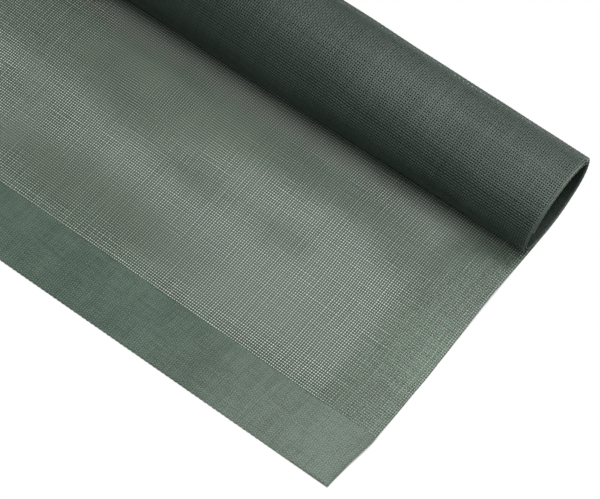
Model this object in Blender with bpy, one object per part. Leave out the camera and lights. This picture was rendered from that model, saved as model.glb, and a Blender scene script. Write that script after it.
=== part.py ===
"""Windbreak netting: a cut length that lies flat, with its far side wound into a loose, hollow roll.

The warp threads run along X, parallel to the woven selvedge and to the roll. The weft threads run
along Y, from the selvedge at the front, under the roll and round it. Z is up, the cloth lies on
Z = 0, and the origin is the middle of the bounding box on the floor. All sizes are in metres.
"""

import math

import bmesh
import bpy

# The cloth as it was cut
CUT_LENGTH = 0.400
CLOTH_WIDTH = 0.640
NET_THICKNESS = 0.0010

# The close-woven band along the selvedge
BAND_WIDTH = 0.039
BAND_THICKNESS = 0.0016
BAND_EASE = 0.0015

# The flat run, from the selvedge to where the cloth leaves the floor
FLAT_RUN = 0.2022
FLAT_STEPS_IN_BAND = 3
FLAT_STEPS_IN_NET = 6

# The roll: a sagging oval whose far side stands higher than its near side
TURN_PITCH = 0.0017
ROLL_STEPS = 90
FINE_STEP_DEGREES = 1.0

# The roll's outer oval at stations along its length, from the far end (0) to the near end (1)
OVAL_COLUMNS = ("along", "half_width", "half_height", "tilt_degrees")
OVAL_STATIONS = (
    (0.00, 0.0362, 0.0244, 10.0),
    (0.25, 0.0361, 0.0241, 11.0),
    (0.45, 0.0359, 0.0236, 12.0),
    (0.60, 0.0356, 0.0230, 12.5),
    (0.72, 0.0350, 0.0221, 12.5),
    (0.84, 0.0345, 0.0212, 13.0),
    (0.93, 0.0342, 0.0206, 13.0),
    (1.00, 0.0340, 0.0204, 13.0),
)
LENGTH_STEPS = 12

# The weft is not quite square to the warp: how far a weft line leans along X, by place on the cloth
BOW_COLUMNS = ("from_selvedge", "lean")
BOW_STATIONS = (
    (0.000, -0.0040),
    (0.014, -0.0031),
    (0.039, -0.0003),
    (0.060, 0.0004),
    (0.095, 0.0005),
    (0.130, -0.0004),
    (0.150, -0.0007),
    (0.180, 0.0002),
    (0.210, 0.0004),
    (0.640, 0.0000),
)

NET_COLOUR = (0.155, 0.195, 0.165, 1.0)
NET_ROUGHNESS = 0.48


def clear_scene():
    """Remove every object, so that the model starts from nothing."""
    for thing in list(bpy.data.objects):
        bpy.data.objects.remove(thing, do_unlink=True)


def read_table(stations, place, column):
    """Return one column of a table of stations, read smoothly at a place between its rows."""
    if place <= stations[0][0]:
        return stations[0][column]
    for before, after in zip(stations, stations[1:]):
        if place <= after[0]:
            share = (place - before[0]) / (after[0] - before[0])
            eased = share * share * (3.0 - 2.0 * share)
            return before[column] + (after[column] - before[column]) * eased
    return stations[-1][column]


def oval_at(along):
    """Return the half width, half height and tilt of the roll's outer oval at a share of its length."""
    half_width = read_table(OVAL_STATIONS, along, OVAL_COLUMNS.index("half_width"))
    half_height = read_table(OVAL_STATIONS, along, OVAL_COLUMNS.index("half_height"))
    tilt = read_table(OVAL_STATIONS, along, OVAL_COLUMNS.index("tilt_degrees"))
    return half_width, half_height, math.radians(tilt)


def oval_point(half_width, half_height, tilt, angle):
    """Return the point of a tilted oval about its centre, as (y, z)."""
    across = half_width * math.cos(angle)
    up = half_height * math.sin(angle)
    return (
        across * math.cos(tilt) - up * math.sin(tilt),
        across * math.sin(tilt) + up * math.cos(tilt),
    )


def spiral_point(oval, wound):
    """Return the outer face of the cloth as (y, z) once it has wound through an angle from the floor."""
    half_width, half_height, tilt = oval
    start = math.atan2(-half_height * math.cos(tilt), -half_width * math.sin(tilt))
    low_y, low_z = oval_point(half_width, half_height, tilt, start)
    inset = TURN_PITCH * wound / (2.0 * math.pi)
    y, z = oval_point(half_width - inset, half_height - inset, tilt, start + wound)
    return FLAT_RUN + y - low_y, z - low_z


def wound_angle(oval):
    """Return the angle through which the cloth winds before it has used up its width."""
    step = math.radians(FINE_STEP_DEGREES)
    left = CLOTH_WIDTH - FLAT_RUN
    wound = 0.0
    last = spiral_point(oval, wound)
    while True:
        point = spiral_point(oval, wound + step)
        length = math.dist(last, point)
        if length >= left:
            return wound + step * left / length
        left -= length
        wound += step
        last = point


def roll_path(along):
    """Return the outer face of the cloth in the roll, as (y, z) points from the floor inwards.

    The path winds round the oval from its lowest point, each turn one pitch inside the last.
    """
    oval = oval_at(along)
    whole = wound_angle(oval)
    return [spiral_point(oval, whole * index / ROLL_STEPS) for index in range(1, ROLL_STEPS + 1)]


def flat_path():
    """Return the cloth's underside on the floor, as distances from the selvedge."""
    in_band = [BAND_WIDTH * index / FLAT_STEPS_IN_BAND for index in range(FLAT_STEPS_IN_BAND + 1)]
    net_start = BAND_WIDTH + BAND_EASE
    net_run = FLAT_RUN - net_start
    in_net = [net_start + net_run * index / FLAT_STEPS_IN_NET for index in range(FLAT_STEPS_IN_NET + 1)]
    return in_band + in_net


def sheet_rows():
    """Return the outer face of the cloth as rows of points, one row for each step along its length."""
    flat = [(distance, 0.0) for distance in flat_path()]
    rows = []
    for index in range(LENGTH_STEPS + 1):
        along = index / LENGTH_STEPS
        x = CUT_LENGTH * (along - 0.5)
        path = flat + roll_path(along)
        row = []
        distance = 0.0
        last = path[0]
        for y, z in path:
            distance += math.dist(last, (y, z))
            lean = read_table(BOW_STATIONS, distance, BOW_COLUMNS.index("lean"))
            row.append((x + lean, y, z))
            last = (y, z)
        rows.append(row)
    return rows


def centre_on_floor(rows):
    """Shift the rows so that the middle of their bounding box stands over the origin."""
    xs = [point[0] for row in rows for point in row]
    ys = [point[1] for row in rows for point in row]
    middle_x = 0.5 * (min(xs) + max(xs))
    middle_y = 0.5 * (min(ys) + max(ys))
    return [[(x - middle_x, y - middle_y, z) for x, y, z in row] for row in rows]


def net_material():
    """Return the green-grey polyethylene of the threads."""
    material = bpy.data.materials.new("netting_green_grey")
    material.use_nodes = True
    shader = material.node_tree.nodes["Principled BSDF"]
    shader.inputs["Base Color"].default_value = NET_COLOUR
    shader.inputs["Roughness"].default_value = NET_ROUGHNESS
    shader.inputs["Metallic"].default_value = 0.0
    return material


def sheet_mesh(rows):
    """Return the outer face of the cloth as a mesh whose faces point up from the floor."""
    mesh = bpy.data.meshes.new("netting")
    shape = bmesh.new()
    grid = [[shape.verts.new(point) for point in row] for row in rows]
    for near, far in zip(grid, grid[1:]):
        for index in range(len(near) - 1):
            shape.faces.new((near[index], far[index], far[index + 1], near[index + 1]))
    shape.normal_update()
    shape.to_mesh(mesh)
    shape.free()
    return mesh


def netting():
    """Make the cut length of netting: its face on the floor, thickened upwards and into the roll."""
    rows = centre_on_floor(sheet_rows())
    piece = bpy.data.objects.new("netting", sheet_mesh(rows))
    bpy.context.scene.collection.objects.link(piece)
    piece.data.materials.append(net_material())

    points_in_row = len(rows[0])
    points_in_band = FLAT_STEPS_IN_BAND + 1
    group = piece.vertex_groups.new(name="cloth_thickness")
    for index in range(len(piece.data.vertices)):
        in_band = index % points_in_row < points_in_band
        group.add([index], 1.0 if in_band else NET_THICKNESS / BAND_THICKNESS, "REPLACE")

    wall = piece.modifiers.new("cloth_thickness", "SOLIDIFY")
    wall.thickness = BAND_THICKNESS
    wall.offset = 1.0
    wall.use_even_offset = True
    wall.vertex_group = group.name

    piece.data.shade_smooth()
    piece.data.set_sharp_from_angle(angle=math.radians(40.0))
    return piece


def main():
    """Build the part."""
    clear_scene()
    netting()


main()
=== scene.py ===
"""Windbreak netting dressed in real threads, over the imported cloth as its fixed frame.

A cut length of plain-woven net lies flat with a close-woven band along its selvedge, and its far
side is wound into a loose, hollow roll. The warp threads run along X and the weft threads along Y.
Every thread is real geometry: a ribbon that passes over and under the threads that it crosses.
All sizes are in metres, in the row frame.
"""

import logging
import math
from dataclasses import dataclass, field
from enum import Enum

import bpy
import numpy as np
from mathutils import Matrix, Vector


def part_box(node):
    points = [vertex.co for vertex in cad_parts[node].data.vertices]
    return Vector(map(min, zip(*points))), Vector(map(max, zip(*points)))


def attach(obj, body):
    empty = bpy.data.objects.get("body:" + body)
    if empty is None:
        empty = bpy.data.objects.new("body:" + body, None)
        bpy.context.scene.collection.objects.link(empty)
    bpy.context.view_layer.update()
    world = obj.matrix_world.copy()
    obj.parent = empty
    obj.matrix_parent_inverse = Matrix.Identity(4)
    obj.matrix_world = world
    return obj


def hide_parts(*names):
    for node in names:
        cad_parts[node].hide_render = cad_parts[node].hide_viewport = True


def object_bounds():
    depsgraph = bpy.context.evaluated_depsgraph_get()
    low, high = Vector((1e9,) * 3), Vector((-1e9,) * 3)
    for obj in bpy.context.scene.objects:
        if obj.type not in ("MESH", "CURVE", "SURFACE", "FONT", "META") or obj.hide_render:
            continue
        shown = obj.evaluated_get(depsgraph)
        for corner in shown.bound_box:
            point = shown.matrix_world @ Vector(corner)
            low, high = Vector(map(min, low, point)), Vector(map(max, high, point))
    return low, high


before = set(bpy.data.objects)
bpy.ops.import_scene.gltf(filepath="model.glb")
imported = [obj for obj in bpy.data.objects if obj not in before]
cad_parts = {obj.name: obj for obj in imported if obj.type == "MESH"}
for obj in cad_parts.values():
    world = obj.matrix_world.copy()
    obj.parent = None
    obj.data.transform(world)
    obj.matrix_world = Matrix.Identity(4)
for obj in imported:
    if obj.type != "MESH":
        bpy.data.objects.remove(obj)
CAD_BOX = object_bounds()

log = logging.getLogger("windbreak_netting")

NODE = "netting"
BODY = "root"
PHOTO_WIDTH_PX = 600.0
BAKE_MAP = "OFBake"
CLOTH_MAP = "cloth_place"
FULL_TURN = 2.0 * math.pi
LEAST_LENGTH = 1e-12
KNOT_MARGIN = 0.001

Colour = tuple[float, float, float]
Stations = tuple[tuple[float, float], ...]
Source = bpy.types.NodeSocket | float | tuple[float, ...]


class Face(Enum):
    """The side of the cloth that the threads' rounded backs are turned to."""

    UPPER = 1.0
    OUTER = -1.0


class Held(Enum):
    LAID = "laid"
    FOLDED = "folded"


class Run(Enum):
    """The part of the cloth that a length belongs to, which settles its finish."""

    BAND = "band"
    FLAT = "flat net"
    OUTER = "outer turn"
    INNER = "inner turns"


class Way(Enum):
    """The way that threads run: the warps along X, and the wefts across them."""

    WARP = "warp"
    WEFT = "weft"


def eased(share: np.ndarray) -> np.ndarray:
    """Return a share from 0 to 1, eased in and out."""
    share = np.clip(share, 0.0, 1.0)
    return share * share * (3.0 - 2.0 * share)


def read_stations(stations: Stations, place: np.ndarray) -> np.ndarray:
    """Read a table of stations smoothly.

    Args:
        stations: Rows of a place and a value, in order of place.
        place: Where to read it.

    Returns:
        The value at each place, eased between the rows and held past the ends.
    """
    rows = np.array(stations)
    before = np.clip(np.searchsorted(rows[:, 0], place, side="right") - 1, 0, len(rows) - 2)
    start, end = rows[before], rows[before + 1]
    share = eased((place - start[..., 0]) / (end[..., 0] - start[..., 0]))
    return start[..., 1] + (end[..., 1] - start[..., 1]) * share


def unit(vectors: np.ndarray) -> np.ndarray:
    """Return the vectors at length one."""
    return vectors / np.maximum(np.linalg.norm(vectors, axis=-1, keepdims=True), LEAST_LENGTH)


def slow_noise(rng: np.random.Generator, rows: int, columns: int, knots: int) -> np.ndarray:
    """Make smooth random lines.

    Args:
        rng: The seeded source of random numbers.
        rows: How many lines.
        columns: How many places along each line.
        knots: How many free values each line passes through.

    Returns:
        One line per row, with a spread of about one. Its last place stops just short of the last
        knot, so that each place lies between two knots.
    """
    free = rng.normal(size=(rows, knots))
    at = np.linspace(0.0, knots - 1.0 - KNOT_MARGIN, columns)
    low = at.astype(int)
    share = eased(at - low)
    return free[:, low] * (1.0 - share) + free[:, low + 1] * share


@dataclass(frozen=True)
class Gauge:
    """The threads: how far apart, how wide, how round, how crimped and how uneven they are.

    The band's first warp is given in pitches from the selvedge, and the net's in pitches from the
    band's last warp. The cut ends vary in length between two shares of end_length. Each thread
    wanders in waves and stands a little out of its place, and the band's warps wander less.
    """

    weft_count: int = 267
    net_pitch: float = 0.001529
    band_pitch: float = 0.0007645
    first_band_warp: float = 0.6
    first_net_warp: float = 0.55
    net_width: float = 0.00064
    inner_width: float = 0.00110
    band_warp_width: float = 0.00074
    band_weft_width: float = 0.00088
    crimp: float = 0.00022
    crown: float = 0.00016
    shoulder: float = 0.00014
    end_length: float = 0.00040
    end_shares: tuple[float, float] = (0.7, 1.3)
    end_droop: float = 0.00008
    end_taper: float = 0.7
    wander: float = 0.00005
    wander_in_band: float = 0.25
    wave_share: float = 1.5
    offset_share: float = 0.45
    warp_waves: int = 36
    weft_waves: int = 56


@dataclass(frozen=True)
class Swell:
    """A soft mound where the flat run stands a little off the floor."""

    x: float
    across: float
    half_length: float
    half_width: float
    rise: float

    def height(self, x: np.ndarray, across: np.ndarray) -> np.ndarray:
        """Work out the mound's height.

        Args:
            x: Places along the warp, from the middle of the cut length.
            across: Distances from the selvedge.

        Returns:
            The height at each place.
        """
        along_share = (x - self.x) / self.half_length
        across_share = (across - self.across) / self.half_width
        return self.rise * np.exp(-along_share**2 - across_share**2)


@dataclass
class Lie:
    """How the cut length lies: from a place on the flat cloth to a place in the row frame.

    The half widths, half heights and tilts of the roll are read by the share of the cut length,
    from the far end to the near end, and the leans by the distance from the selvedge. The roll is
    followed for most_turns, which is further than the cloth reaches.
    """

    length: float = 0.400
    width: float = 0.640
    band: float = 0.039
    flat_run: float = 0.2022
    turn_pitch: float = 0.0017
    most_turns: float = 3.0
    roll_steps: int = 1400
    net_thickness: float = 0.0010
    lean_to_cut: float = 0.0005
    half_widths: Stations = (
        (0.00, 0.0362), (0.25, 0.0361), (0.45, 0.0359), (0.60, 0.0356),
        (0.72, 0.0350), (0.84, 0.0345), (0.93, 0.0342), (1.00, 0.0340),
    )
    half_heights: Stations = (
        (0.00, 0.0244), (0.25, 0.0241), (0.45, 0.0236), (0.60, 0.0230),
        (0.72, 0.0221), (0.84, 0.0212), (0.93, 0.0206), (1.00, 0.0204),
    )
    tilts: Stations = (
        (0.00, 10.0), (0.25, 11.0), (0.45, 12.0), (0.60, 12.5),
        (0.72, 12.5), (0.84, 13.0), (0.93, 13.0), (1.00, 13.0),
    )
    leans: Stations = (
        (0.000, -0.0040), (0.014, -0.0031), (0.039, -0.0003), (0.060, 0.0004),
        (0.095, 0.0005), (0.130, -0.0004), (0.150, -0.0007), (0.180, 0.0002),
        (0.210, 0.0004), (0.345, 0.0004), (0.425, 0.00092), (0.480, 0.00092), (0.530, 0.00115),
        (0.640, 0.00145),
    )
    lowest_net: float = 0.00040
    lowest_band: float = 0.00045
    band_blend: float = 0.004
    roll_blend: float = 0.020
    edge_lift: float = 0.0014
    edge_lift_from: float = 0.050
    edge_lift_over: float = 0.040
    swells: tuple[Swell, ...] = (
        Swell(x=-0.085, across=0.141, half_length=0.070, half_width=0.016, rise=0.0019),
        Swell(x=-0.038, across=0.138, half_length=0.021, half_width=0.017, rise=0.0018),
        Swell(x=0.048, across=0.153, half_length=0.092, half_width=0.011, rise=0.0007),
        Swell(x=-0.030, across=0.062, half_length=0.055, half_width=0.016, rise=0.0011),
        Swell(x=-0.094, across=0.096, half_length=0.040, half_width=0.012, rise=0.0002),
        Swell(x=0.014, across=0.111, half_length=0.028, half_width=0.009, rise=0.0004),
        Swell(x=0.080, across=0.110, half_length=0.018, half_width=0.008, rise=0.0003),
        Swell(x=0.145, across=0.140, half_length=0.016, half_width=0.012, rise=0.0003),
        Swell(x=0.125, across=0.181, half_length=0.050, half_width=0.005, rise=0.0012),
        Swell(x=0.000, across=0.0415, half_length=0.600, half_width=0.005, rise=0.0001),
    )
    swell_end: float = 0.012
    swell_taper: float = 0.023
    origin: Vector = field(init=False)

    def __post_init__(self) -> None:
        """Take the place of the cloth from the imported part's own box."""
        low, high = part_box(NODE)
        self.origin = Vector((high.x - 0.5 * self.length - self.lean_to_cut, low.y, 0.0))

    def angles(self) -> np.ndarray:
        """Return the angles wound at which the roll is followed, from the floor inwards."""
        return np.linspace(0.0, FULL_TURN * self.most_turns, self.roll_steps)

    def path(self, along: np.ndarray) -> tuple[np.ndarray, ...]:
        """Follow the cloth's outer face from the floor to the middle of the roll.

        Args:
            along: Shares of the cut length, from the far end to the near end.

        Returns:
            Distances from the selvedge, and the y and z there, one row for each share.
        """
        half_width = read_stations(self.half_widths, along)[:, None]
        half_height = read_stations(self.half_heights, along)[:, None]
        tilt = np.radians(read_stations(self.tilts, along))[:, None]
        start = np.arctan2(-half_height * np.cos(tilt), -half_width * np.sin(tilt))
        wound = self.angles()[None, :]
        inset = self.turn_pitch * wound / FULL_TURN

        def oval(wide: np.ndarray, high: np.ndarray, angle: np.ndarray) -> tuple[np.ndarray, np.ndarray]:
            """Return the y and z of a tilted oval about its centre."""
            across, up = wide * np.cos(angle), high * np.sin(angle)
            return (
                across * np.cos(tilt) - up * np.sin(tilt),
                across * np.sin(tilt) + up * np.cos(tilt),
            )

        low_y, low_z = oval(half_width, half_height, start)
        y, z = oval(half_width - inset, half_height - inset, start + wound)
        y, z = self.flat_run + y - low_y, z - low_z
        stride = np.hypot(np.diff(y, axis=1), np.diff(z, axis=1))
        distance = self.flat_run + np.concatenate(
            [np.zeros((len(along), 1)), np.cumsum(stride, axis=1)], axis=1
        )
        return distance, y, z

    def lift(self, x: np.ndarray, across: np.ndarray) -> np.ndarray:
        """Work out how far the threads' middle plane stands above the floor on the flat run.

        Args:
            x: Places along the warp, from the middle of the cut length.
            across: Distances from the selvedge.

        Returns:
            The lift at each place: a thread's own height, the rise to the near cut end and the swells.
        """
        in_net = eased((across - (self.band - 0.5 * self.band_blend)) / self.band_blend)
        rest = self.lowest_band + (self.lowest_net - self.lowest_band) * in_net
        at_edge = eased((x - (0.5 * self.length - self.edge_lift_from)) / self.edge_lift_over)
        clear_of_roll = eased((self.flat_run - self.swell_end - across) / self.swell_taper)
        mounds = sum(swell.height(x, across) for swell in self.swells)
        return rest + (self.edge_lift * at_edge + mounds) * clear_of_roll

    def place(self, along: np.ndarray, across: np.ndarray,
              x: np.ndarray) -> tuple[np.ndarray, np.ndarray]:
        """Place the crossings of the threads.

        Args:
            along: Shares of the cut length, one for each weft.
            across: Distances from the selvedge, a row of warps for each weft.
            x: Places along the warp, shaped as across.

        Returns:
            Points of the cloth's middle plane, and the directions from its outer to its upper face.
        """
        distance, path_y, path_z = self.path(along)
        y, z = across.copy(), np.zeros_like(across)
        step_y, step_z = np.ones_like(across), np.zeros_like(across)
        for row in range(len(along)):
            in_turns = across[row] > self.flat_run
            turn_y, turn_z = np.gradient(path_y[row]), np.gradient(path_z[row])
            size = np.hypot(turn_y, turn_z)
            at = across[row][in_turns]
            y[row][in_turns] = np.interp(at, distance[row], path_y[row])
            z[row][in_turns] = np.interp(at, distance[row], path_z[row])
            step_y[row][in_turns] = np.interp(at, distance[row], turn_y / size)
            step_z[row][in_turns] = np.interp(at, distance[row], turn_z / size)
        normal = unit(np.stack([np.zeros_like(y), -step_z, step_y], axis=-1))
        half_wall = 0.5 * self.net_thickness
        in_roll = eased((across - (self.flat_run - 0.5 * self.roll_blend)) / self.roll_blend)
        height = self.lift(x, across) * (1.0 - in_roll) + half_wall * in_roll
        points = np.stack([x + read_stations(self.leans, across), y, z], axis=-1)
        points += normal * height[..., None] + np.array(self.origin)
        return points, normal


@dataclass
class Crossings:
    """Every place where a weft crosses a warp, worked out once and shared by all the pieces.

    Its arrays of places have a row for each weft and a column for each warp.
    """

    lie: Lie
    gauge: Gauge
    seed: int = 41
    band_count: int = field(init=False)
    warps: np.ndarray = field(init=False)
    wefts: np.ndarray = field(init=False)
    points: np.ndarray = field(init=False)
    normals: np.ndarray = field(init=False)
    weft_way: np.ndarray = field(init=False)
    warp_way: np.ndarray = field(init=False)
    weft_side: np.ndarray = field(init=False)
    flat: np.ndarray = field(init=False)

    def __post_init__(self) -> None:
        """Set out the threads on the flat cloth, then place their crossings."""
        gauge, lie = self.gauge, self.lie
        self.band_count = int(round(lie.band / gauge.band_pitch))
        net_count = int((lie.width - lie.band) / gauge.net_pitch)
        band = gauge.band_pitch * (np.arange(self.band_count) + gauge.first_band_warp)
        net = band[-1] + gauge.net_pitch * (np.arange(net_count) + gauge.first_net_warp)
        self.warps = np.concatenate([band, net])
        self.wefts = (np.arange(gauge.weft_count) + 0.5) / gauge.weft_count
        sideways, lengthways = self.wanders()
        across = self.warps[None, :] + sideways
        x = lie.length * (self.wefts[:, None] - 0.5) + lengthways
        self.points, self.normals = lie.place(self.wefts, across, x)
        self.weft_way = unit(np.gradient(self.points, axis=1))
        self.warp_way = unit(np.gradient(self.points, axis=0))
        odd = (np.arange(gauge.weft_count)[:, None] + np.arange(len(self.warps))[None, :]) % 2 == 1
        self.weft_side = np.where(odd, -1.0, 1.0)
        self.flat = np.stack([x + 0.5 * lie.length, across], axis=-1)

    def wanders(self) -> tuple[np.ndarray, np.ndarray]:
        """Let each thread wander a little from its straight line.

        Returns:
            How far each crossing has moved across the cloth with its warp, and along it with its weft.
        """
        rng = np.random.default_rng(self.seed)
        gauge = self.gauge
        warp_count, weft_count = len(self.warps), gauge.weft_count
        sideways = gauge.wave_share * slow_noise(rng, warp_count, weft_count, gauge.warp_waves).T
        sideways += gauge.offset_share * rng.normal(size=warp_count)
        lengthways = gauge.wave_share * slow_noise(rng, weft_count, warp_count, gauge.weft_waves)
        lengthways += gauge.offset_share * rng.normal(size=(weft_count, 1))
        in_band = np.arange(warp_count) < self.band_count
        sideways *= np.where(in_band, gauge.wander_in_band, 1.0)
        return gauge.wander * sideways, gauge.wander * lengthways

    def turn_ends(self) -> list[int]:
        """Find where the roll and its inner turns begin.

        Returns:
            The number of the roll's first warp, and of its inner turns' first warp.
        """
        near_end = np.array([1.0])
        distance = self.lie.path(near_end)[0][0]
        once_round = np.interp(FULL_TURN, self.lie.angles(), distance)
        return [int(np.searchsorted(self.warps, edge)) for edge in (self.lie.flat_run, once_round)]


@dataclass
class Thread:
    """Arrays for a set of like threads: each is a line of places with its frame there."""

    points: np.ndarray
    normals: np.ndarray
    sides: np.ndarray
    flat: np.ndarray
    widths: np.ndarray

    def arrays(self) -> tuple[np.ndarray, ...]:
        """Return all the arrays, in the order that they are given in."""
        return self.points, self.normals, self.sides, self.flat, self.widths


@dataclass
class Weaver:
    """Gathers ribbons for threads and turns them into one mesh object."""

    name: str
    gauge: Gauge
    face: Face
    crowned: bool = True
    chunks: list[np.ndarray] = field(default_factory=list)
    flats: list[np.ndarray] = field(default_factory=list)
    faces: list[np.ndarray] = field(default_factory=list)
    count: int = 0

    def add(self, thread: Thread, crimp: np.ndarray, flip: bool) -> None:
        """Add a ribbon along each thread.

        Args:
            thread: The threads' places, shaped threads by places.
            crimp: How far each place stands over or under the middle plane.
            flip: Whether the ribbon's quads run the other way round.
        """
        gauge = self.gauge
        back = thread.normals * self.face.value
        middle = thread.points + thread.normals * crimp[..., None]
        half = 0.5 * thread.widths[..., None] * thread.sides
        if self.crowned:
            columns = [
                middle - half - back * gauge.shoulder,
                middle + back * gauge.crown,
                middle + half - back * gauge.shoulder,
            ]
        else:
            columns = [middle - half, middle + half]
        grid = np.stack(columns, axis=2)
        threads, places, across, _ = grid.shape
        index = np.arange(threads * places * across).reshape(threads, places, across) + self.count
        corners = [index[:, :-1, :-1], index[:, 1:, :-1], index[:, 1:, 1:], index[:, :-1, 1:]]
        if flip != (self.face is Face.OUTER):
            corners.reverse()
        self.faces.append(np.stack(corners, axis=-1).reshape(-1, 4))
        self.chunks.append(grid.reshape(-1, 3))
        self.flats.append(np.repeat(thread.flat[:, :, None, :], across, axis=2).reshape(-1, 2))
        self.count += grid.size // 3

    def finish(self, material: bpy.types.Material) -> bpy.types.Object:
        """Make the object from what was gathered.

        Args:
            material: The finish of the threads.

        Returns:
            The new object, at the origin, with its place in its mesh.
        """
        points = np.concatenate(self.chunks).astype(np.float32)
        flats = np.concatenate(self.flats).astype(np.float32)
        faces = np.concatenate(self.faces).astype(np.int32)
        mesh = bpy.data.meshes.new(self.name)
        mesh.vertices.add(len(points))
        mesh.vertices.foreach_set("co", points.ravel())
        mesh.loops.add(faces.size)
        mesh.loops.foreach_set("vertex_index", faces.ravel())
        mesh.polygons.add(len(faces))
        mesh.polygons.foreach_set("loop_start", np.arange(0, faces.size, 4, dtype=np.int32))
        mesh.update(calc_edges=True)
        mesh.validate()
        low, high = flats.min(axis=0), flats.max(axis=0)
        corners = np.zeros(len(mesh.loops), dtype=np.int32)
        mesh.loops.foreach_get("vertex_index", corners)
        for name, places in ((BAKE_MAP, (flats - low) / (high - low)), (CLOTH_MAP, flats)):
            layer = mesh.uv_layers.new(name=name)
            layer.uv.foreach_set("vector", places[corners].ravel())
        mesh.shade_smooth()
        mesh.materials.append(material)
        piece = bpy.data.objects.new(self.name, mesh)
        bpy.context.scene.collection.objects.link(piece)
        return piece


@dataclass
class ClothLength:
    """One length of the cloth, from one warp to another and from one weft to another."""

    name: str
    crossings: Crossings
    first_warp: int
    last_warp: int
    first_weft: int
    last_weft: int
    face: Face
    held: Held
    run: Run
    crowned: bool = True
    seed: int = 7

    def widths(self, way: Way) -> tuple[float, float]:
        """Look up the width of the threads.

        Those of the inner turns are wide, so that the roll's inside looks closed.

        Args:
            way: Which threads to look up.

        Returns:
            The width in the band, and the width in the net.
        """
        gauge = self.crossings.gauge
        in_band = gauge.band_weft_width if way is Way.WEFT else gauge.band_warp_width
        return in_band, gauge.inner_width if self.run is Run.INNER else gauge.net_width

    def cut(self, way: Way) -> tuple[slice, slice]:
        """Find the crossings that the threads of this length run through.

        Args:
            way: Which threads to follow.

        Returns:
            Their rows and columns. Where another length follows, each thread runs on to its first
            crossing there.
        """
        more_wefts, more_warps = (0, 1) if way is Way.WEFT else (1, 0)
        last_weft = min(self.last_weft + more_wefts, len(self.crossings.wefts))
        last_warp = min(self.last_warp + more_warps, len(self.crossings.warps))
        return slice(self.first_weft, last_weft), slice(self.first_warp, last_warp)

    def thread(self, way: Way) -> Thread:
        """Cut this length's threads out of the crossings.

        Args:
            way: Which threads to take.

        Returns:
            The threads, shaped threads by places.
        """
        data = self.crossings
        cut = self.cut(way)
        in_band = np.arange(cut[1].start, cut[1].stop) < data.band_count
        in_band_width, in_net_width = self.widths(way)
        points, normals, flat = data.points[cut], data.normals[cut], data.flat[cut]
        sides = data.warp_way[cut] if way is Way.WEFT else data.weft_way[cut]
        widths = np.broadcast_to(np.where(in_band, in_band_width, in_net_width), points.shape[:2])
        parts = [points, normals, sides, flat, widths]
        if way is Way.WARP:
            parts = [part.swapaxes(0, 1) for part in parts]
        return Thread(*parts)

    def crimps(self, way: Way) -> np.ndarray:
        """Return how far the wefts or warps stand over the middle plane at each crossing."""
        side = self.crossings.weft_side[self.cut(way)]
        return (side if way is Way.WEFT else -side.T) * self.crossings.gauge.crimp

    def with_cut_ends(self, thread: Thread, crimp: np.ndarray) -> tuple[Thread, np.ndarray]:
        """Run the warps on past the last weft to where the cloth was cut.

        Args:
            thread: The warps.
            crimp: Their crimp.

        Returns:
            The warps and their crimp, with a slightly ragged end at each cut edge they reach.
        """
        data, gauge = self.crossings, self.crossings.gauge
        rng = np.random.default_rng(self.seed + self.first_warp)
        for at_start in (True, False):
            is_edge = self.first_weft == 0 if at_start else self.last_weft >= len(data.wefts)
            if not is_edge:
                continue
            end, before, outward = (0, 1, -1.0) if at_start else (-1, -2, 1.0)
            way = unit(thread.points[:, end] - thread.points[:, before])
            length = gauge.end_length * rng.uniform(*gauge.end_shares, size=(len(way), 1))
            droop = thread.normals[:, end] * rng.normal(0.0, gauge.end_droop, size=(len(way), 1))
            tips = thread.points[:, end] + way * length + droop
            flat = thread.flat[:, end] + np.array([outward * gauge.end_length, 0.0])
            flat[:, 0] = np.clip(flat[:, 0], 0.0, data.lie.length)
            widths = gauge.end_taper * thread.widths[:, end]
            ends = (tips, thread.normals[:, end], thread.sides[:, end], flat, widths)
            spot = 0 if at_start else thread.points.shape[1]
            thread = Thread(*(
                np.insert(values, spot, last, axis=1) for values, last in zip(thread.arrays(), ends)
            ))
            crimp = np.insert(crimp, spot, 0.0, axis=1)
        return thread, crimp

    def build(self, material: bpy.types.Material) -> bpy.types.Object:
        """Args:
            material: The finish of its threads.

        Returns:
            The finished piece.
        """
        data = self.crossings
        weaver = Weaver(self.name, data.gauge, self.face, self.crowned)
        weaver.add(self.thread(Way.WEFT), self.crimps(Way.WEFT), flip=True)
        warps, crimp = self.with_cut_ends(self.thread(Way.WARP), self.crimps(Way.WARP))
        weaver.add(warps, crimp, flip=False)
        self.add_trim(weaver)
        piece = weaver.finish(material)
        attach(piece, BODY)
        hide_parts(NODE)
        return piece

    def add_trim(self, weaver: Weaver) -> None:
        """Add what finishes the edge of this length, which is nothing on a plain length."""


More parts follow.
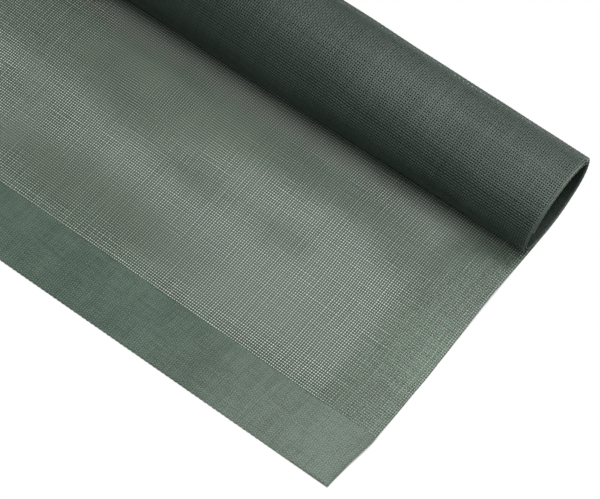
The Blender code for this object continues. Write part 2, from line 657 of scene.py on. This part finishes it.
@dataclass
class SelvedgeBand(ClothLength):
    """The close-woven band along the selvedge, whose wefts turn back in small loops.

    The loops' reach varies between two shares of loop_reach, and their width is a share of the
    net's thread width.
    """

    loop_reach: float = 0.00050
    loop_shares: tuple[float, float] = (0.75, 1.2)
    loop_width: float = 0.8
    loop_steps: int = 7

    def add_trim(self, weaver: Weaver) -> None:
        """Turn each second weft back into its neighbour round the outermost warp.

        Args:
            weaver: What gathers the threads of this length.
        """
        data = self.crossings
        first = np.arange(1, len(data.wefts) - 1, 2)
        start, end = data.points[first, 0], data.points[first + 1, 0]
        normal = data.normals[first, 0]
        out = -data.weft_way[first, 0]
        middle, half = 0.5 * (start + end), 0.5 * (end - start)
        turn = np.linspace(0.0, math.pi, self.loop_steps)[None, :, None]
        rng = np.random.default_rng(self.seed)
        reach = self.loop_reach * rng.uniform(*self.loop_shares, size=(len(first), 1, 1))
        points = middle[:, None] - half[:, None] * np.cos(turn) + out[:, None] * np.sin(turn) * reach
        ways = unit(np.gradient(points, axis=1))
        normals = np.broadcast_to(normal[:, None], points.shape)
        sides = unit(np.cross(normals, ways))
        flat = np.broadcast_to(data.flat[first, 0][:, None], points.shape[:2] + (2,)).copy()
        flat[..., 1] = 0.0
        widths = np.full(points.shape[:2], self.loop_width * data.gauge.net_width)
        weaver.add(Thread(points, normals, sides, flat, widths), np.zeros(points.shape[:2]), flip=False)


@dataclass(frozen=True)
class Nodes:
    """A node tree, with short ways to add nodes to it and to join them."""

    tree: bpy.types.NodeTree

    def feed(self, node: bpy.types.Node, inputs: dict[str | int, Source]) -> None:
        """Set a node's inputs.

        Args:
            node: The node.
            inputs: What each input takes, by its name or number: a value, or a socket to join it to.
        """
        for name, value in inputs.items():
            if isinstance(value, bpy.types.NodeSocket):
                self.tree.links.new(value, node.inputs[name])
            else:
                node.inputs[name].default_value = value

    def add(self, kind: str, inputs: dict[str | int, Source] | None = None,
            **settings: str | bpy.types.NodeTree) -> bpy.types.Node:
        """Add a node.

        Args:
            kind: The node's type, without the words that all shader nodes share.
            inputs: What its inputs take.
            settings: The node's own settings, which are made before its inputs are.

        Returns:
            The new node.
        """
        node = self.tree.nodes.new(f"ShaderNode{kind}")
        for name, value in settings.items():
            setattr(node, name, value)
        self.feed(node, inputs or {})
        return node

    def math(self, operation: str, *values: Source) -> bpy.types.NodeSocket:
        """Return the result of a sum on numbers."""
        return self.add("Math", dict(enumerate(values)), operation=operation).outputs["Value"]

    def vector(self, operation: str, *values: Source) -> bpy.types.NodeSocket:
        """Return the result of a sum on vectors."""
        return self.add("VectorMath", dict(enumerate(values)), operation=operation).outputs["Vector"]

    def scaled(self, vector: Source, scale: Source) -> bpy.types.NodeSocket:
        """Return a vector multiplied by a number."""
        inputs = {"Vector": vector, "Scale": scale}
        return self.add("VectorMath", inputs, operation="SCALE").outputs["Vector"]

    def size(self, vector: Source) -> bpy.types.NodeSocket:
        """Return the length of a vector."""
        return self.add("VectorMath", {0: vector}, operation="LENGTH").outputs["Value"]

    def joined(self, inputs: dict[str | int, Source]) -> bpy.types.NodeSocket:
        """Return a vector put together from its X and Y."""
        return self.add("CombineXYZ", inputs).outputs["Vector"]

    def part(self, vector: Source, axis: str) -> bpy.types.NodeSocket:
        """Return the part of a vector along one axis."""
        return self.add("SeparateXYZ", {"Vector": vector}).outputs[axis]

    def mix(self, factor: Source, first: Source, second: Source) -> bpy.types.NodeSocket:
        """Return one colour blended into another."""
        inputs = {"Factor": factor, "A": first, "B": second}
        return self.add("Mix", inputs, data_type="RGBA").outputs["Result"]

    def spread(self, value: Source, to_low: float, to_high: float) -> bpy.types.NodeSocket:
        """Return a share from 0 to 1 spread evenly over a range."""
        inputs = {"Value": value, "To Min": to_low, "To Max": to_high}
        return self.add("MapRange", inputs).outputs["Result"]

    def ramp(self, value: Source, low: Source, high: Source, to_low: float,
             to_high: float) -> bpy.types.NodeSocket:
        """Return a value read smoothly from one range into another, and held past its ends."""
        inputs = {"Value": value, "From Min": low, "From Max": high, "To Min": to_low, "To Max": to_high}
        return self.add("MapRange", inputs, interpolation_type="SMOOTHSTEP").outputs["Result"]


@dataclass(frozen=True)
class ThreadFinish:
    """Green-grey polyethylene thread, uneven in tone.

    It has a paler oval patch of painted light: a painted highlight and sheen on the roll, the band and
    the flat net, and a lighter painted shade on the inner turns.
    Along the cut edges it turns paler, which is a painted highlight.
    """

    name: str
    deep: Colour
    pale: Colour
    painted_light: Colour
    # Colour of the painted highlight along the cut edges.
    cut: Colour
    painted_light_at: tuple[float, float]
    painted_light_reach: tuple[float, float]
    painted_light_spread: float = 0.22
    roughness: float = 0.36
    smoother: float = 0.05
    rougher: float = 0.07
    gloss: float = 0.5
    ior: float = 1.5
    streak_scale: float = 260.0
    cloud_scale: float = 16.0
    # How far in from the cut ends the painted highlight reaches.
    cut_depth: float = 0.0022

    def painted_light_tone(self, share: float) -> tuple[float, ...]:
        """Return the painted light's colour at a share of its brightness."""
        return (*(share * value for value in self.painted_light), 1.0)

    def material(self, tone_group: bpy.types.NodeTree, length: float) -> bpy.types.Material:
        """Make the material.

        Args:
            tone_group: The shared group that gives the tone of the cloth at a place.
            length: The cut length of the cloth, from one cut edge to the other.

        Returns:
            The new material.
        """
        material = bpy.data.materials.new(self.name)
        material.use_nodes = True
        nodes = Nodes(material.node_tree)
        inputs = {
            "Place": nodes.add("UVMap", uv_map=CLOTH_MAP).outputs["UV"],
            "Streaks": self.streak_scale, "Clouds": self.cloud_scale,
            "Length": length, "Cut depth": self.cut_depth,
            "Painted light place": (*self.painted_light_at, 0.0), "Painted light reach": (*self.painted_light_reach, 1.0),
        }
        group = nodes.add("Group", inputs, node_tree=tone_group)
        tone = group.outputs["Tone"]
        body = nodes.mix(tone, (*self.deep, 1.0), (*self.pale, 1.0))
        # Blend in the oval patch of painted light: a painted highlight, and on the inner turns a lighter
        # painted shade.
        dim, bright = self.painted_light_tone(1.0 - self.painted_light_spread), self.painted_light_tone(1.0 + self.painted_light_spread)
        with_painted_light = nodes.mix(group.outputs["Painted light"], body, nodes.mix(tone, dim, bright))
        nodes.feed(material.node_tree.nodes["Principled BSDF"], {
            # Along the cut edges the colour turns paler: a painted highlight on the cut rims.
            "Base Color": nodes.mix(group.outputs["Cut highlight"], with_painted_light, (*self.cut, 1.0)),
            "Roughness": nodes.spread(
                tone, self.roughness - self.smoother, self.roughness + self.rougher
            ),
            "Specular IOR Level": self.gloss,
            "IOR": self.ior,
        })
        return material


@dataclass(frozen=True)
class ToneGroup:
    """The shared node group that gives the cloth's tone, and masks for its patch of painted light and
    for the painted highlight along its cut edges.

    The tone is made of fine streaks along both sets of threads and of broad clouds.
    """

    name: str = "cloth_tone"
    streak_squeeze: float = 0.06
    streak_detail: float = 2.0
    streak_share: float = 0.3
    cloud_squeeze: float = 0.6
    cloud_detail: float = 3.0
    cloud_share: float = 0.4
    deepest: float = 0.38
    palest: float = 0.62
    painted_light_core: float = 0.14

    def build(self) -> bpy.types.NodeTree:
        """Make the group.

        Returns:
            The node group: it reads a place on the flat cloth and gives a tone, a mask for the oval
            patch of painted light and a mask for the painted highlight along the cut edges.
        """
        tree = bpy.data.node_groups.new(self.name, "ShaderNodeTree")
        sockets = (
            ("Place", "INPUT", "NodeSocketVector"), ("Streaks", "INPUT", "NodeSocketFloat"),
            ("Clouds", "INPUT", "NodeSocketFloat"), ("Length", "INPUT", "NodeSocketFloat"),
            ("Cut depth", "INPUT", "NodeSocketFloat"), ("Painted light place", "INPUT", "NodeSocketVector"),
            ("Painted light reach", "INPUT", "NodeSocketVector"), ("Tone", "OUTPUT", "NodeSocketFloat"),
            ("Painted light", "OUTPUT", "NodeSocketFloat"), ("Cut highlight", "OUTPUT", "NodeSocketFloat"),
        )
        for name, in_out, kind in sockets:
            tree.interface.new_socket(name=name, in_out=in_out, socket_type=kind)
        nodes = Nodes(tree)
        given = tree.nodes.new("NodeGroupInput").outputs
        place = given["Place"]
        fine = nodes.scaled(place, given["Streaks"])
        warp = self.noise(nodes, fine, (self.streak_squeeze, 1.0, 1.0), self.streak_detail)
        weft = self.noise(nodes, fine, (1.0, self.streak_squeeze, 1.0), self.streak_detail)
        broad = nodes.scaled(place, given["Clouds"])
        clouds = self.noise(nodes, broad, (1.0, self.cloud_squeeze, 1.0), self.cloud_detail)
        streaks = nodes.math("MULTIPLY", nodes.math("ADD", warp, weft), self.streak_share)
        mixed = nodes.math("MULTIPLY_ADD", clouds, self.cloud_share, streaks)
        along = nodes.part(place, "X")
        nearest = nodes.math("MINIMUM", nodes.math("SUBTRACT", given["Length"], along), along)
        # Mask of the oval patch of painted light.
        offset = nodes.vector("SUBTRACT", place, given["Painted light place"])
        away = nodes.size(nodes.vector("DIVIDE", offset, given["Painted light reach"]))
        nodes.feed(tree.nodes.new("NodeGroupOutput"), {
            "Tone": nodes.ramp(mixed, self.deepest, self.palest, 0.0, 1.0),
            "Painted light": nodes.ramp(away, self.painted_light_core, 1.0, 1.0, 0.0),
            # Mask of the painted highlight along the cut edges.
            "Cut highlight": nodes.ramp(nearest, 0.0, given["Cut depth"], 1.0, 0.0),
        })
        return tree

    def noise(self, nodes: Nodes, vector: Source, squeeze: tuple[float, float, float],
              detail: float) -> bpy.types.NodeSocket:
        """Add noise that is drawn out along one way of the cloth.

        Args:
            nodes: The tree to add it to.
            vector: The place where it is read.
            squeeze: How far each part of the place is squeezed, which draws the noise out along it.
            detail: How many finer layers it has.

        Returns:
            The noise, from 0 to 1.
        """
        squeezed = nodes.vector("MULTIPLY", vector, squeeze)
        inputs = {"Vector": squeezed, "Scale": 1.0, "Detail": detail}
        return nodes.add("TexNoise", inputs).outputs["Fac"]


@dataclass(frozen=True)
class FloorFinish:
    """A matt, pale floor, which the camera sees plain white past the cloth's edges.

    The cut edges are taken to lie at cloth_half on both sides of cloth_middle. The middle leans
    over along the band, and the edges are drawn in a little, most of all beside the roll.
    """

    cloth_middle: float
    cloth_half: float
    tone: float = 0.90
    roughness: float = 0.9
    gloss: float = 0.1
    fade: float = 0.0006
    corner_lean: float = 0.0040
    corner_depth: float = 0.039
    edge_inset: float = 0.0008
    roll_inset: float = 0.0045
    roll_depth: float = 0.042
    roll_clear: float = 0.016

    def material(self) -> bpy.types.Material:
        """Make the material.

        Returns:
            The new material.
        """
        material = bpy.data.materials.new("studio_floor")
        material.use_nodes = True
        tree = material.node_tree
        nodes = Nodes(tree)
        low, high = CAD_BOX
        place = nodes.add("TexCoord").outputs["Object"]
        y = nodes.part(place, "Y")
        middle = nodes.ramp(
            y, low.y, low.y + self.corner_depth, self.cloth_middle - self.corner_lean, self.cloth_middle
        )
        half = nodes.ramp(
            y, high.y - self.roll_depth, high.y - self.roll_clear,
            self.cloth_half - self.edge_inset, self.cloth_half - self.roll_inset,
        )
        far = nodes.vector("ABSOLUTE", nodes.vector("SUBTRACT", place, nodes.joined({"X": middle})))
        past = nodes.vector("SUBTRACT", far, nodes.joined({"X": half, "Y": high.y}))
        outside = nodes.size(nodes.vector("MAXIMUM", past, (0.0, 0.0, 0.0)))
        shown_white = nodes.ramp(outside, 0.0, self.fade, 0.0, 1.0)
        seen = nodes.add("LightPath").outputs["Is Camera Ray"]
        shader = tree.nodes["Principled BSDF"]
        nodes.feed(shader, {
            "Base Color": (self.tone,) * 3 + (1.0,),
            "Roughness": self.roughness,
            "Specular IOR Level": self.gloss,
        })
        mix = nodes.add("MixShader", {
            "Fac": nodes.math("MULTIPLY", shown_white, seen),
            1: shader.outputs["BSDF"],
            2: nodes.add("Emission").outputs["Emission"],
        })
        nodes.feed(tree.nodes["Material Output"], {"Surface": mix.outputs["Shader"]})
        return material


@dataclass(frozen=True)
class Lamp:
    """A square soft light that faces a place on the object."""

    name: str
    azimuth: float
    elevation: float
    distance: float
    size: float
    power: float
    aim: tuple[float, float, float] = (0.096, -0.013, 0.0)


@dataclass
class Studio:
    """The pale floor, the soft light and the camera at the photograph's angle."""

    floor_finish: FloorFinish
    floor_size: float = 14.0
    azimuth: float = 37.15
    elevation: float = 61.29
    distance: float = 1.509
    focal_px: float = 2646.0
    sensor: float = 36.0
    clip: tuple[float, float] = (0.05, 50.0)
    target: tuple[float, float, float] = (0.09615, -0.01320, 0.0)
    ambient: float = 0.24
    lamps: tuple[Lamp, ...] = (
        Lamp("key_light", azimuth=172.0, elevation=45.0, distance=0.90, size=0.80, power=5.8),
        Lamp("top_light", azimuth=120.0, elevation=75.0, distance=0.90, size=0.80, power=4.1),
    )

    def direction(self, azimuth: float, elevation: float) -> Vector:
        """Find the direction from the object to what stands round it.

        Args:
            azimuth: The turn about Z from the front, in degrees.
            elevation: The angle above the floor, in degrees.

        Returns:
            The direction, at length one.
        """
        turn, rise = math.radians(azimuth), math.radians(elevation)
        return Vector((
            math.sin(turn) * math.cos(rise), -math.cos(turn) * math.cos(rise), math.sin(rise)
        ))

    def floor(self) -> None:
        """Lay the plain pale floor."""
        bpy.ops.object.select_all(action="DESELECT")
        bpy.ops.mesh.primitive_plane_add(size=self.floor_size)
        floor = bpy.context.object
        floor.name = "studio_floor"
        floor.data.materials.append(self.floor_finish.material())

    def lights(self) -> None:
        """Hang the soft lights above and behind the roll, and fill the room with a little pale light."""
        for lamp in self.lamps:
            back = self.direction(lamp.azimuth, lamp.elevation)
            light = bpy.data.lights.new(lamp.name, "AREA")
            light.shape = "SQUARE"
            light.size = lamp.size
            light.energy = lamp.power
            holder = bpy.data.objects.new(lamp.name, light)
            holder.location = Vector(lamp.aim) + back * lamp.distance
            holder.rotation_euler = back.to_track_quat("Z", "Y").to_euler()
            bpy.context.scene.collection.objects.link(holder)
        world = bpy.data.worlds.new("studio_air")
        world.use_nodes = True
        nodes = Nodes(world.node_tree)
        seen = nodes.add("LightPath").outputs["Is Camera Ray"]
        nodes.feed(world.node_tree.nodes["Background"], {
            "Color": (1.0, 1.0, 1.0, 1.0),
            "Strength": nodes.spread(seen, self.ambient, 1.0),
        })
        bpy.context.scene.world = world

    def camera(self) -> None:
        """Stand the camera where the photograph was taken from."""
        lens = bpy.data.cameras.new("camera")
        lens.sensor_fit = "HORIZONTAL"
        lens.sensor_width = self.sensor
        lens.lens = self.focal_px * self.sensor / PHOTO_WIDTH_PX
        lens.clip_start, lens.clip_end = self.clip
        camera = bpy.data.objects.new("camera", lens)
        back = self.direction(self.azimuth, self.elevation)
        camera.location = Vector(self.target) + back * self.distance
        camera.rotation_euler = back.to_track_quat("Z", "Y").to_euler()
        bpy.context.scene.collection.objects.link(camera)
        bpy.context.scene.camera = camera
        bpy.context.scene.view_settings.view_transform = "Standard"

    def build(self) -> None:
        """Set up the whole studio."""
        self.camera()
        self.floor()
        self.lights()
        log.info("studio: camera at azimuth %.1f, elevation %.1f", self.azimuth, self.elevation)


def cloth_lengths(crossings: Crossings) -> list[ClothLength]:
    """Divide the cloth into the lengths that are woven as pieces of their own.

    Args:
        crossings: The crossings of the whole cloth.

    Returns:
        The band, then the far and near halves of the flat net, the outer turn and the inner turns.
    """
    band = crossings.band_count
    roll, inner = crossings.turn_ends()
    end, wefts = len(crossings.warps), len(crossings.wefts)
    middle = wefts // 2
    halves = (("far", 0, middle), ("near", middle, wefts))
    lengths: list[ClothLength] = [
        SelvedgeBand("selvedge_band", crossings, 0, band, 0, wefts, Face.UPPER, Held.LAID, Run.BAND)
    ]
    for side, start, stop in halves:
        lengths.append(ClothLength(
            f"flat_net_{side}", crossings, band, roll, start, stop, Face.UPPER, Held.LAID, Run.FLAT
        ))
        lengths.append(ClothLength(
            f"outer_turn_{side}", crossings, roll, inner, start, stop, Face.OUTER, Held.FOLDED, Run.OUTER
        ))
        lengths.append(ClothLength(
            f"inner_turns_{side}", crossings, inner, end, start, stop, Face.UPPER, Held.FOLDED,
            Run.INNER, crowned=False,
        ))
    return lengths


def thread_finishes() -> dict[Run, ThreadFinish]:
    """Choose how the threads look in each part of the cloth, with painted shade on the roll, and painted
    highlights in patches and along the cut edges.

    Returns:
        The finish of each part.
    """
    return {
        # The band's patch toward the near corner is a painted sheen, and its paler cut colour is a
        # painted highlight.
        Run.BAND: ThreadFinish(
            "band_thread", deep=(0.071, 0.114, 0.084), pale=(0.115, 0.172, 0.132),
            painted_light=(0.168, 0.220, 0.176), cut=(0.120, 0.150, 0.126), painted_light_at=(0.400, 0.000),
            painted_light_reach=(0.160, 0.120), streak_scale=840.0, cloud_scale=22.0,
        ),
        # The net's patch by the near cut end is painted light, brightening the corner that the lamps
        # leave dimmer. Its paler cut colour is a painted highlight.
        Run.FLAT: ThreadFinish(
            "net_thread", deep=(0.028, 0.075, 0.032), pale=(0.048, 0.110, 0.053),
            painted_light=(0.110, 0.180, 0.120), cut=(0.085, 0.125, 0.093), painted_light_at=(0.400, 0.060),
            painted_light_reach=(0.055, 0.200), gloss=0.35, cloud_scale=30.0,
        ),
        # The roll's outer turn: a darker, greyer copy of the net's thread, which is painted shade on the
        # roll. Its patch along the roll's upper side is a painted highlight, and its paler cut colour is
        # a painted highlight on the rim.
        Run.OUTER: ThreadFinish(
            "wound_thread_painted_shade", deep=(0.030, 0.051, 0.039), pale=(0.047, 0.072, 0.057),
            painted_light=(0.100, 0.132, 0.111), cut=(0.085, 0.125, 0.093), painted_light_at=(0.400, 0.299),
            painted_light_reach=(0.330, 0.026),
        ),
        # The inner turns: a much darker copy of the net's thread, which is painted shade inside the
        # roll. Its patch lightens that painted shade on the turn just under the outer turn, and its pale
        # cut colour is a painted highlight on the mouth's rim.
        Run.INNER: ThreadFinish(
            "inner_thread_painted_shade", deep=(0.023, 0.035, 0.028), pale=(0.033, 0.048, 0.039),
            painted_light=(0.048, 0.069, 0.056), cut=(0.150, 0.185, 0.158), painted_light_at=(0.200, 0.440),
            painted_light_reach=(0.600, 0.110),
        ),
    }


def main() -> None:
    """Weave the netting, dress it and set up the studio."""
    logging.basicConfig(level=logging.INFO, format="%(name)s: %(message)s")
    lie = Lie()
    Studio(FloorFinish(cloth_middle=lie.origin.x, cloth_half=0.5 * lie.length)).build()
    crossings = Crossings(lie, Gauge())
    tone_group = ToneGroup().build()
    finishes = thread_finishes()
    materials = {run: finish.material(tone_group, lie.length) for run, finish in finishes.items()}
    for length in cloth_lengths(crossings):
        length.build(materials[length.run])


if __name__ == "__main__":
    main()
